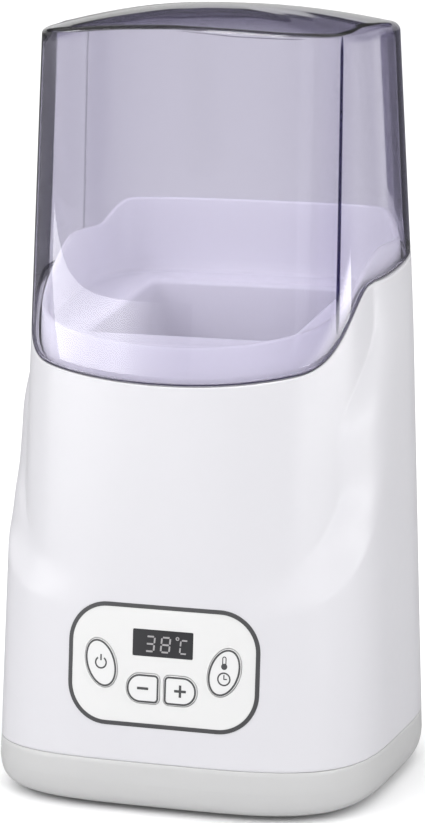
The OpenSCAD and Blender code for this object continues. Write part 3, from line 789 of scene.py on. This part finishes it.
ZE_DEG = (-180, -163, -147, -138, -129, -121.5, -115, -104.5, -93, -80, -66, -54.5, -42.5, -34, -20, 0, 20, 45, 70, 90, 110, 135, 160, 180)
ZE_Z = (7.2, 8.0, 8.6, 7.9, 7.3, 6.4, 5.8, 5.4, 5.1, 5.6, 6.2, 7.1, 7.6, 8.2, 7.6, 6.3, 6.3, 7.4, 6.4, 6.0, 6.4, 7.4, 7.2, 7.2)
ZE_F = np.radians(np.arange(-180, 180, 1.0))
ZE_T = TOTAL_H - np.interp(np.degrees(ZE_F), ZE_DEG, ZE_Z)
for _ in range(30):
    ZE_T = 0.5 * ZE_T + 0.25 * (np.roll(ZE_T, 1) + np.roll(ZE_T, -1))


def ze(f):
    """Height of the cover's top edge, by bearing."""
    return np.interp(f, ZE_F, ZE_T, period=2 * math.pi)


def lwall(o, h):
    z = ZS + SEAM_GAP + (ze(PHI) - er(PHI) - ZS - SEAM_GAP) * h
    return tlev(o, z)


def wall_t(f, z, rim):
    """The cover's wall: thin on the broad sides, thicker round the right rear corner, where the tint gathers."""
    d = np.degrees(f)
    left = np.abs(d) > 90
    side = np.minimum(np.abs(d), 180 - np.abs(d))
    aft = np.where(d > 0, side, -side)
    t_front = np.where(left, T_LEFT + (T_FRONT - T_LEFT) * ss((side - 38) / 30), T_FRONT)
    front = T_SIDE + (t_front - T_SIDE) * ss((side - 20) / 20)
    corner = np.where(left, T_REAR, T_CORNER + T_FREE * ss((z - rim - 1) / 9))
    rear = T_SIDE + (corner - T_SIDE) * ss((aft - 25) / 12) + (T_REAR - corner) * ss((aft - 43.5) / 5) - 1.3 * np.where(left, 0, np.clip(1 - np.abs(aft - 50.6) / 1.41, 0, 1))
    return np.where(aft > -12, rear, front)


def lwall_in(h):
    z = ZS + SEAM_GAP + (ze(PHI) - er(PHI) - ZS - SEAM_GAP) * h
    return tlev(wall_t(PHI, z, ZR), z)


def ltop(o, i, s):
    x, y = T(PHI, ze(PHI) - er(PHI), o + er(PHI) - 4 + i)
    z = ze(PHI) - o - 0.1 + (TOTAL_H - ze(PHI) + 0.045) * (1 - s * s)
    return np.stack([x * s, 1.5 + (y - 1.5) * s, z], -1)


def ledge(o, a):
    a = math.radians(a)
    r = er(PHI) - o * 0.4
    x, y = T(PHI, ze(PHI) - er(PHI), o + r * (1 - math.cos(a)))
    return np.stack([x, y, ze(PHI) - er(PHI) + (er(PHI) - o * 0.55 - 0.1) * math.sin(a)], -1)


rings = [ltop(COVER_T, 3.4, s) for s in (0.05, 0.12, 0.2, 0.3, 0.4, 0.5, 0.6, 0.7, 0.8, 0.88, 0.94, 0.98)]
rings += [ledge(COVER_T, a) for a in (72, 60, 48, 36, 24, 12, 0)]
rings += [lwall_in(h) for h in np.linspace(1, 0, 40)[1:-1]]
zb = ZS + SEAM_GAP + 0.65
rings += [tlev(wall_t(PHI, zb, ZR), zb + 0.3), tlev(np.maximum(wall_t(PHI, zb, ZR) - 0.2, 0.6), zb), tlev(0.35, zb), tlev(0.1, zb + 0.1), tlev(0, zb + 0.4)]
rings += [lwall(0, h) for h in np.linspace(0, 1, 40)[1:-1]]
rings += [ledge(0, a) for a in (0, 11, 22, 33, 44, 55, 66)]
rings += [ltop(0, 4, s) for s in (0.985, 0.94, 0.88, 0.8, 0.7, 0.6, 0.5, 0.4, 0.3, 0.2, 0.12, 0.05)]
v, f = loft(rings)
lid = obj_from("cover_moulding", v, f, M["smoke"], "lid", 40)
lid.visible_shadow = False
# the lower edge of the cover: painted shade, an opaque dark band that stands in for the shadow gap and refraction
# line along the seam
zb = ZS + SEAM_GAP
lip = [tlev(1.35, zb + 0.64), tlev(1.5, zb + 0.45), tlev(1.4, zb + 0.1), tlev(1.2, zb), tlev(0.35, zb), tlev(0.1, zb + 0.1), tlev(0.02, zb + 0.35), tlev(0.05, zb + 0.64)]
v, f = loft(lip, loop=True)
lip = obj_from("cover_lip_painted_shade", v, f, M["lip"], "lid", 50)
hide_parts("lid")
# painted shade: a fine dark upright line at each front corner, a dense absorbing strip inside the wall that stands
# in for the refraction shade along the bend
for tag, deg in (("right", -32.6), ("left", -147.4)):
    z0 = float(np.interp(math.radians(deg), PHI, ZS)) + SEAM_GAP + 1.0
    z1 = TOTAL_H - 9.6
    rings = []
    for u in np.linspace(0, 1, 60):
        z = z0 + (z1 - z0) * u
        fa = math.radians(deg - (2.6 * (1 - u) if tag == "right" else 0))
        half = 0.0145 * (0.3 + 0.7 * min(1.0, 20 * u, 25 * (1 - u)))
        w = np.linspace(0, 2 * math.pi, 17)[:-1]
        ff = fa + half * np.cos(w)
        oo = 0.62 + 0.45 * np.sin(w)
        x, y = T(ff, np.full(16, z), oo)
        rings.append(np.stack([x, y, np.full(16, z)], -1))
    v, f = loft(rings)
    crease_shade = obj_from("cover_crease_shade_" + tag, v, f, M["crease_shade"], "lid", 60)
    crease_shade.visible_shadow = False
# painted shade: the left one, wider and softer, an absorbing band inside the wall for the dark refraction strip at
# the left, with a fine painted shade line for the rear left bend seen behind it
for tag, lo, hi, zlo, zhi, thick in (("cover_shade_left", -147.0, -133.4, 181.0, TOTAL_H - 9.4, 1.25), ("cover_bend_rear_shade", 150.3, 151.9, 200.0, TOTAL_H - 9.6, 0.25)):
    rings = []
    for u in np.linspace(0, 1, 80):
        z = zlo + (zhi - zlo) * u
        top = hi if hi > 0 else lo + (hi + 0.03 * (250 - z) - lo) * (0.25 + 0.75 * float(ss((z - 181) / 17)))
        fs = np.radians(np.linspace(lo, top, 14))
        fs = np.concatenate([fs, fs[::-1]])
        q = (np.degrees(fs) - lo) / (hi - lo)
        deep = thick * (q * (1 - np.clip((q - 0.9) / 0.12, 0, 1) ** 2) if hi < 0 else np.sin(math.pi * np.clip(q, 0, 1))) + 0.01
        zz = np.full(28, z)
        o1 = wall_t(fs, zz, zz - 40.0) + 0.06
        oo = np.where(np.arange(28) < 14, o1, o1 + deep)
        x, y = T(fs, zz, oo)
        rings.append(np.stack([x, y, zz], -1))
    v, f = loft(rings)
    shade_piece = obj_from(tag, v, f, M["tint"], "lid", 60)
    shade_piece.visible_shadow = False
# painted shade: absorbing strips along the front top edge, darkest at its left, with a second fine line below its
# right half, standing in for the dark refraction line at the edge
for tag, d0, d1, us, wide, mid, r0, r1 in (
        ("cover_brow_shade", -150.0, -36.0, (0, 0.05, 0.184, 0.25, 0.4, 0.5, 0.614, 0.737, 0.838, 0.9, 0.95, 1), (3, 20, 32, 38, 38, 32, 17, 14, 14, 20, 30, 5), None, 0.42, 0.3),
        ("cover_brow_shade_low", -90.0, -47.0, (0, 0.1, 0.5, 0.9, 1), (0.6, 3, 4, 4, 0.6), (3.0, 2.0, -14.0, -4.0, -2.0), 0.55, 0.22)):
    rings = []
    for u in np.linspace(0, 1, 160):
        fa = math.radians(d0 + (d1 - d0) * u)
        ah = float(np.interp(u, us, wide))
        ac = 90 - ah if mid is None else float(np.interp(u, us, mid))
        w = np.linspace(0, 2 * math.pi, 25)[:-1]
        aa = np.radians(ac + ah * np.cos(w))
        f1 = np.full(24, fa)
        rr = er(f1) - r0 + r1 * np.sin(w)
        oo = er(f1) - rr * np.cos(np.maximum(aa, 0))
        x, y = T(f1, ze(f1) - er(f1), oo)
        rings.append(np.stack([x, y, ze(f1) - er(f1) + (rr - 0.12) * np.where(aa > 0, np.sin(aa), 1.6 * aa)], -1))
    v, f = loft(rings)
    brow_shade = obj_from(tag, v, f, M["brow_shade"], "lid", 60)
    brow_shade.visible_shadow = False
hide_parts("lid")

# ------------------------------------------------------------------ panel
gap = 0.25
film = plate("panel_film", pill(PANEL_W - 3.1, PANEL_H - 3.1, 13.45),
             [power_out(gap), mode_out(gap), minus_out(gap), plus_out(gap), window_out(0.05)], -1.5, 0.05, M["film"], "base", 1.6)
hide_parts("panel_plate")
trim = plate("panel_ring", pill(PANEL_W, PANEL_H, 15), [pill(PANEL_W - 3, PANEL_H - 3, 13.5)], -1.4, 0.16, M["ink"], "base", 0)
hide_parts("panel_trim")
win = plate("display_pane", window_out(0.0), [], -1.6, -0.05, M["window"], "base", 2.0)
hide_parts("display_window")


def lap(shape):
    return np.asarray(shape, float)


def button_piece(name, node, outline, centre, flange, h=0.38, r=0.28):
    n = len(outline(0))
    ang = np.arctan2(outline(0)[:, 1] - centre[1], outline(0)[:, 0] - centre[0])
    circ = np.stack([centre[0] + 2 * np.cos(ang), centre[1] + 2 * np.sin(ang)], -1)
    rings = [on_panel(circ, -7.0, 1.0), on_panel(circ, -4.2, 1.0), on_panel(outline(flange), -4.2, 1.0), on_panel(outline(flange), -3.4, 1.0), on_panel(outline(-0.03), -3.4, 1.0)]
    rings += [on_panel(outline(-0.03), h - r)]
    for a in (22, 45, 67, 90):
        a = math.radians(a)
        rings.append(on_panel(outline(-0.03 - r * (1 - math.cos(a))), h - r + r * math.sin(a)))
    m = len(rings)
    verts = list(np.concatenate(rings))
    i = np.arange(m - 1)[:, None]
    k = np.arange(n)[None, :]
    q = (k + 1) % n
    faces = np.stack([i * n + k, i * n + q, (i + 1) * n + q, (i + 1) * n + k], -1).reshape(-1, 4).tolist()
    verts.append(on_panel(np.array([centre]), -7.0, 1.0)[0])
    faces += [[m * n, (a + 1) % n, a] for a in range(n)]
    tv2, tf2, rims = triangulate(outline(-0.03 - r), (), 1.2)
    base = len(verts)
    rim = {p: (m - 1) * n + i for i, p in enumerate(rims[0])}
    remap = []
    pts = on_panel(tv2, h)
    for i in range(len(tv2)):
        if i in rim:
            remap.append(rim[i])
        else:
            remap.append(len(verts))
            verts.append(pts[i])
    faces += [[remap[a] for a in t] for t in tf2]
    o = obj_from(name, np.array(verts), faces, M["button"], node, 40)
    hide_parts(node)
    return o


H = 0.38
button_piece("power_cap", "power_button", power_out, (-BX, 0), 1.0)
button_piece("mode_cap", "mode_button", mode_out, (BX, 0), 1.0)
button_piece("minus_cap", "minus_button", minus_out, (-7.15, -8.1), 0.6)
button_piece("plus_cap", "plus_button", plus_out, (7.15, -8.1), 0.6)


def ink(name, outline, holes, body, grid=0, h=H, mat="ink"):
    return plate(name, outline, holes, h - 0.05, h + 0.03, M[mat], body, grid, sharp=30)


RO, RI = -0.28, -0.98
ink("power_ring", power_out(RO), [power_out(RI)], "power_button")
ink("mode_ring", mode_out(RO), [mode_out(RI)], "mode_button")
ink("minus_ring", minus_out(RO), [minus_out(RI)], "minus_button")
ink("plus_ring", plus_out(RO), [plus_out(RI)], "plus_button")


def bar(w, h, cx, cy, t=0.0, r=0.12):
    p = rrect(w, h, (r, r, r, r), 0, 0, 4)
    t = math.radians(t)
    return np.stack([cx + p[:, 0] * math.cos(t) - p[:, 1] * math.sin(t), cy + p[:, 0] * math.sin(t) + p[:, 1] * math.cos(t)], -1)


def cross_shape(s, t, cx, cy):
    a, b = s / 2, t / 2
    return np.array([(cx + x, cy + y) for x, y in ((b, -a), (b, -b), (a, -b), (a, b), (b, b), (b, a), (-b, a), (-b, b), (-a, b), (-a, -b), (-b, -b), (-b, -a))])


def arc(cx, cy, r0, r1, a0, a1, n=40):
    t = np.radians(np.linspace(a0, a1, n))
    return np.concatenate([np.stack([cx + r1 * np.cos(t), cy + r1 * np.sin(t)], -1), np.stack([cx + r0 * np.cos(t[::-1]), cy + r0 * np.sin(t[::-1])], -1)])


ink("minus_sign", bar(4.3, 0.95, -7.15, -8.1), [], "minus_button")
ink("plus_sign", cross_shape(4.5, 0.95, 7.15, -8.1), [], "plus_button")
# power mark
ink("power_arc", arc(-BX, 0.1, 1.75, 2.35, 125, 415), [], "power_button")
ink("power_bar", bar(0.6, 2.3, -BX, 2.0), [], "power_button")
# temperature and time marks
MX = BX
ink("temp_tube", arc(MX, 3.4 + 1.8, 0.42, 0.80, 0, 180, 16)[::1], [], "mode_button")
ink("temp_left", bar(0.38, 2.6, MX - 0.61, 3.9, 0, 0.05), [], "mode_button")
ink("temp_right", bar(0.38, 2.6, MX + 0.61, 3.9, 0, 0.05), [], "mode_button")
ink("temp_bulb", ellipse(1.15, 1.15, 0, MX, 2.25, 40), [], "mode_button")
ink("clock_ring", ellipse(2.5, 2.5, 0, MX, -2.3, 64), [ellipse(1.95, 1.95, 0, MX, -2.3, 64)], "mode_button")
ink("clock_hand_a", bar(0.42, 1.7, MX, -1.55, 0, 0.08), [], "mode_button")
ink("clock_hand_b", bar(1.3, 0.42, MX + 0.5, -2.3, 0, 0.08), [], "mode_button")


# display digits: seven segments each
def segments(which, cx, cy, w, h, t, tag, slant=0.08):
    gapx = 0.08
    seg = {
        "a": bar(w - t - gapx, t, 0, h / 2), "g": bar(w - t - gapx, t, 0, 0), "d": bar(w - t - gapx, t, 0, -h / 2),
        "f": bar(t, h / 2 - t - gapx, -w / 2, h / 4), "b": bar(t, h / 2 - t - gapx, w / 2, h / 4),
        "e": bar(t, h / 2 - t - gapx, -w / 2, -h / 4), "c": bar(t, h / 2 - t - gapx, w / 2, -h / 4),
    }
    for s in which:
        p = seg[s].copy()
        p[:, 0] += slant * p[:, 1]
        p += np.array([cx, cy])
        plate(f"digit_{tag}_{s}", p, [], -0.1, -0.02, M["digit"], "base", 0)


segments("abgcd", -4.9, 8.3, 3.2, 5.4, 0.62, "one")
segments("abcdefg", 1.0, 8.3, 3.2, 5.4, 0.62, "two")
segments("afed", 8.0, 8.0, 2.7, 4.8, 0.55, "three")
plate("digit_degree", ellipse(0.7, 0.7, 0, 5.5, 10.9, 24), [ellipse(0.32, 0.32, 0, 5.5, 10.9, 24)], -0.1, -0.02, M["digit"], "base", 0)

# ------------------------------------------------------------------ cord gland with rounded flange
GY, GZ = REAR - 0.040 * (31 - 20), 31.0
prof = [(3.3, -9.0), (5.0, -9.0), (5.4, -8.6), (5.4, 0.4), (7.6, 0.4), (8.0, 0.8), (8.0, 1.9), (7.85, 2.3), (7.45, 2.62), (6.6, 2.85), (5.4, 3.0), (4.4, 3.0), (3.9, 2.9), (3.5, 2.6), (3.3, 2.1)]
n = 72
w = np.arange(n) * 2 * math.pi / n


def gring(r, d):
    """Round in the flange, and rounded square where the gland sits in the wall."""
    k = (1 / (np.abs(np.cos(w)) ** 9 + np.abs(np.sin(w)) ** 9)) ** (1 / 9) if r in (5.0, 5.4) and d < 0.5 else 1.0
    return np.stack([r * k * np.cos(w), np.full(n, GY + d), GZ + r * k * np.sin(w)], -1)


rings = [gring(r, d) for r, d in prof]
v, f = loft(rings, loop=True)
f = [list(reversed(q)) for q in f]
gland = obj_from("gland_moulding", v, f, M["gland"], "base", 30)
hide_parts("cord_gland")

# ------------------------------------------------------------------ stage and light
SKY_LOW, SKY_TOP, LOW, SHADE = 1.0, 1.6, 0.14, 0.85


def stage_plane(name, size, mat):
    bpy.ops.mesh.primitive_plane_add(size=size)
    o = bpy.context.object
    o.name = name
    o.data.materials.append(mat)
    return o


floor_mat = moulded("floor_white", (0.93, 0.93, 0.935), 0.6, vary=0.004, bump=0.0, scale=20, spec=0.2)
floor = stage_plane("floor", 40, floor_mat)
floor.visible_glossy = False

world = bpy.data.worlds.new("studio")
bpy.context.scene.world = world
world.use_nodes = True
wt = world.node_tree
bg = wt.nodes["Background"]
bg.inputs[0].default_value = (1, 1, 1, 1)


def wmath(op, a, b):
    n = wt.nodes.new("ShaderNodeMath")
    n.operation = op
    for i, x in enumerate((a, b)):
        if isinstance(x, (int, float)):
            n.inputs[i].default_value = x
        else:
            wt.links.new(x, n.inputs[i])
    return n.outputs[0]


def wramp(x, lo, hi, to_lo=0.0, to_hi=1.0):
    n = wt.nodes.new("ShaderNodeMapRange")
    n.interpolation_type = "SMOOTHSTEP"
    wt.links.new(x, n.inputs["Value"])
    for k, val in (("From Min", lo), ("From Max", hi), ("To Min", to_lo), ("To Max", to_hi)):
        n.inputs[k].default_value = val
    return n.outputs["Result"]


wc = wt.nodes.new("ShaderNodeTexCoord")
wx = wt.nodes.new("ShaderNodeSeparateXYZ")
wt.links.new(wc.outputs["Generated"], wx.inputs[0])
sky = wramp(wx.outputs[2], 0.25, 0.9, SKY_LOW, SKY_TOP)
keep = wmath("MAXIMUM", wramp(wx.outputs[2], -0.03, 0.02), wramp(wx.outputs[1], -0.2, 0.5, LOW, 0.36))
shade = wmath("MULTIPLY", wramp(wx.outputs[1], -0.1, 0.6), wmath("MULTIPLY", wramp(wx.outputs[2], 0.225, 0.25), wramp(wx.outputs[2], 0.4, 0.7, 1.0, 0.0)))
keep = wmath("MULTIPLY", keep, wmath("SUBTRACT", 1.0, wmath("MULTIPLY", shade, SHADE)))
pale = wmath("MULTIPLY", wramp(wx.outputs[1], 0.3, 0.7), wmath("SUBTRACT", 1.0, wramp(wx.outputs[2], 0.0, 0.2)))
keep = wmath("MULTIPLY", keep, wmath("SUBTRACT", 1.0, wmath("MULTIPLY", pale, 0.3)))
keep = wmath("MULTIPLY", keep, wramp(wx.outputs[0], 0.15, 0.95, 1.0, 0.9))
keep = wmath("MULTIPLY", keep, wramp(wx.outputs[0], -0.9, -0.1, 1.12, 1.0))
wt.links.new(wmath("MULTIPLY", sky, keep), bg.inputs[1])


def area(name, at_, look, size, power, shape="RECTANGLE", size_y=None, colour=(1, 1, 1)):
    d = bpy.data.lights.new(name, "AREA")
    d.shape = shape
    d.size = size
    d.size_y = size_y or size
    d.energy = power
    d.color = colour
    o = bpy.data.objects.new(name, d)
    o.location = at_
    o.rotation_euler = (Vector(look) - Vector(at_)).to_track_quat("-Z", "Y").to_euler()
    bpy.context.scene.collection.objects.link(o)
    return o


area("key", (-1.6, -2.2, 1.7), (0, 0, 0.15), 1.2, 16.5)
area("strip", (1.7, -1.5, 0.9), (0, 0, 0.15), 0.9, 4, "RECTANGLE", 1.6)
side_fill = area("side_fill", (1.95, 0.1, 0.6), (0, 0, 0.12), 1.0, 6, "RECTANGLE", 1.2)
side_fill.visible_glossy = False


def card(name, corners, strength, ramp_axis=None, lo=0.0, hi=1.0, soft=None):
    """A bright sheet that shows only in gloss. Its light fades along one axis between lo and hi, and past soft along X."""
    me = bpy.data.meshes.new(name)
    me.from_pydata(corners, [], [[0, 1, 2, 3]])
    me.update()
    o = bpy.data.objects.new(name, me)
    bpy.context.scene.collection.objects.link(o)
    m = bpy.data.materials.new(name)
    m.use_nodes = True
    nt = m.node_tree
    nt.nodes.clear()
    out = nt.nodes.new("ShaderNodeOutputMaterial")
    em = nt.nodes.new("ShaderNodeEmission")
    em.inputs["Strength"].default_value = strength
    nt.links.new(em.outputs[0], out.inputs[0])
    if ramp_axis is not None:
        tc = nt.nodes.new("ShaderNodeTexCoord")
        sp = nt.nodes.new("ShaderNodeSeparateXYZ")
        nt.links.new(tc.outputs["Object"], sp.inputs[0])
        mr = nt.nodes.new("ShaderNodeMapRange")
        mr.interpolation_type = "SMOOTHSTEP"
        nt.links.new(sp.outputs[ramp_axis], mr.inputs["Value"])
        for k, val in (("From Min", lo), ("From Max", hi), ("To Min", 0.0), ("To Max", strength)):
            mr.inputs[k].default_value = val
        level = mr.outputs["Result"]
        if soft:
            m2 = nt.nodes.new("ShaderNodeMapRange")
            m2.interpolation_type = "SMOOTHSTEP"
            nt.links.new(sp.outputs[0], m2.inputs["Value"])
            for k, val in (("From Min", soft[0]), ("From Max", soft[1]), ("To Min", 0.0), ("To Max", 1.0)):
                m2.inputs[k].default_value = val
            mm = nt.nodes.new("ShaderNodeMath")
            mm.operation = "MULTIPLY"
            nt.links.new(level, mm.inputs[0])
            nt.links.new(m2.outputs["Result"], mm.inputs[1])
            level = mm.outputs[0]
        nt.links.new(level, em.inputs["Strength"])
    me.materials.append(m)
    o.visible_camera = False
    o.visible_diffuse = False
    o.visible_transmission = False
    o.visible_shadow = False
    return o


card("card_right_up", [(0.5, -0.454, 0.118), (0.5, 0.40, 0.118), (0.5, 0.40, 0.17), (0.5, -0.454, 0.17)], 10.0, 2, 0.153, 0.138)
card("card_right_low", [(0.5, -0.454, 0.003), (0.5, 0.40, 0.003), (0.5, 0.40, 0.117), (0.5, -0.454, 0.117)], 0.6)
card("card_left_up", [(-0.17, -0.6, 0.125), (-2.0, -0.6, 0.125), (-2.0, -0.6, 0.195), (-0.17, -0.6, 0.195)], 9.0, 0, -0.17, -0.25)
card("card_left_low", [(-0.17, -0.6, 0.003), (-2.0, -0.6, 0.003), (-2.0, -0.6, 0.124), (-0.17, -0.6, 0.124)], 1.1, 0, -0.17, -0.25)
card("card_top", [(-0.17, -0.6, 0.5), (0.25, -0.55, 0.5), (0.25, -0.25, 1.0), (-0.17, -0.3, 1.0)], 17.0, 2, 1.0, 0.8, (0.25, 0.14))
card("card_corner", [(-0.62, -0.22, 0.5), (-0.5, -0.45, 0.5), (-0.45, -0.4, 0.78), (-0.57, -0.17, 0.78)], 14.0, 2, 0.78, 0.6)

sc = bpy.context.scene
sc.view_settings.view_transform = "Standard"
sc.view_settings.look = "None"
sc.view_settings.exposure = 0.0
sc.view_settings.gamma = 1.0
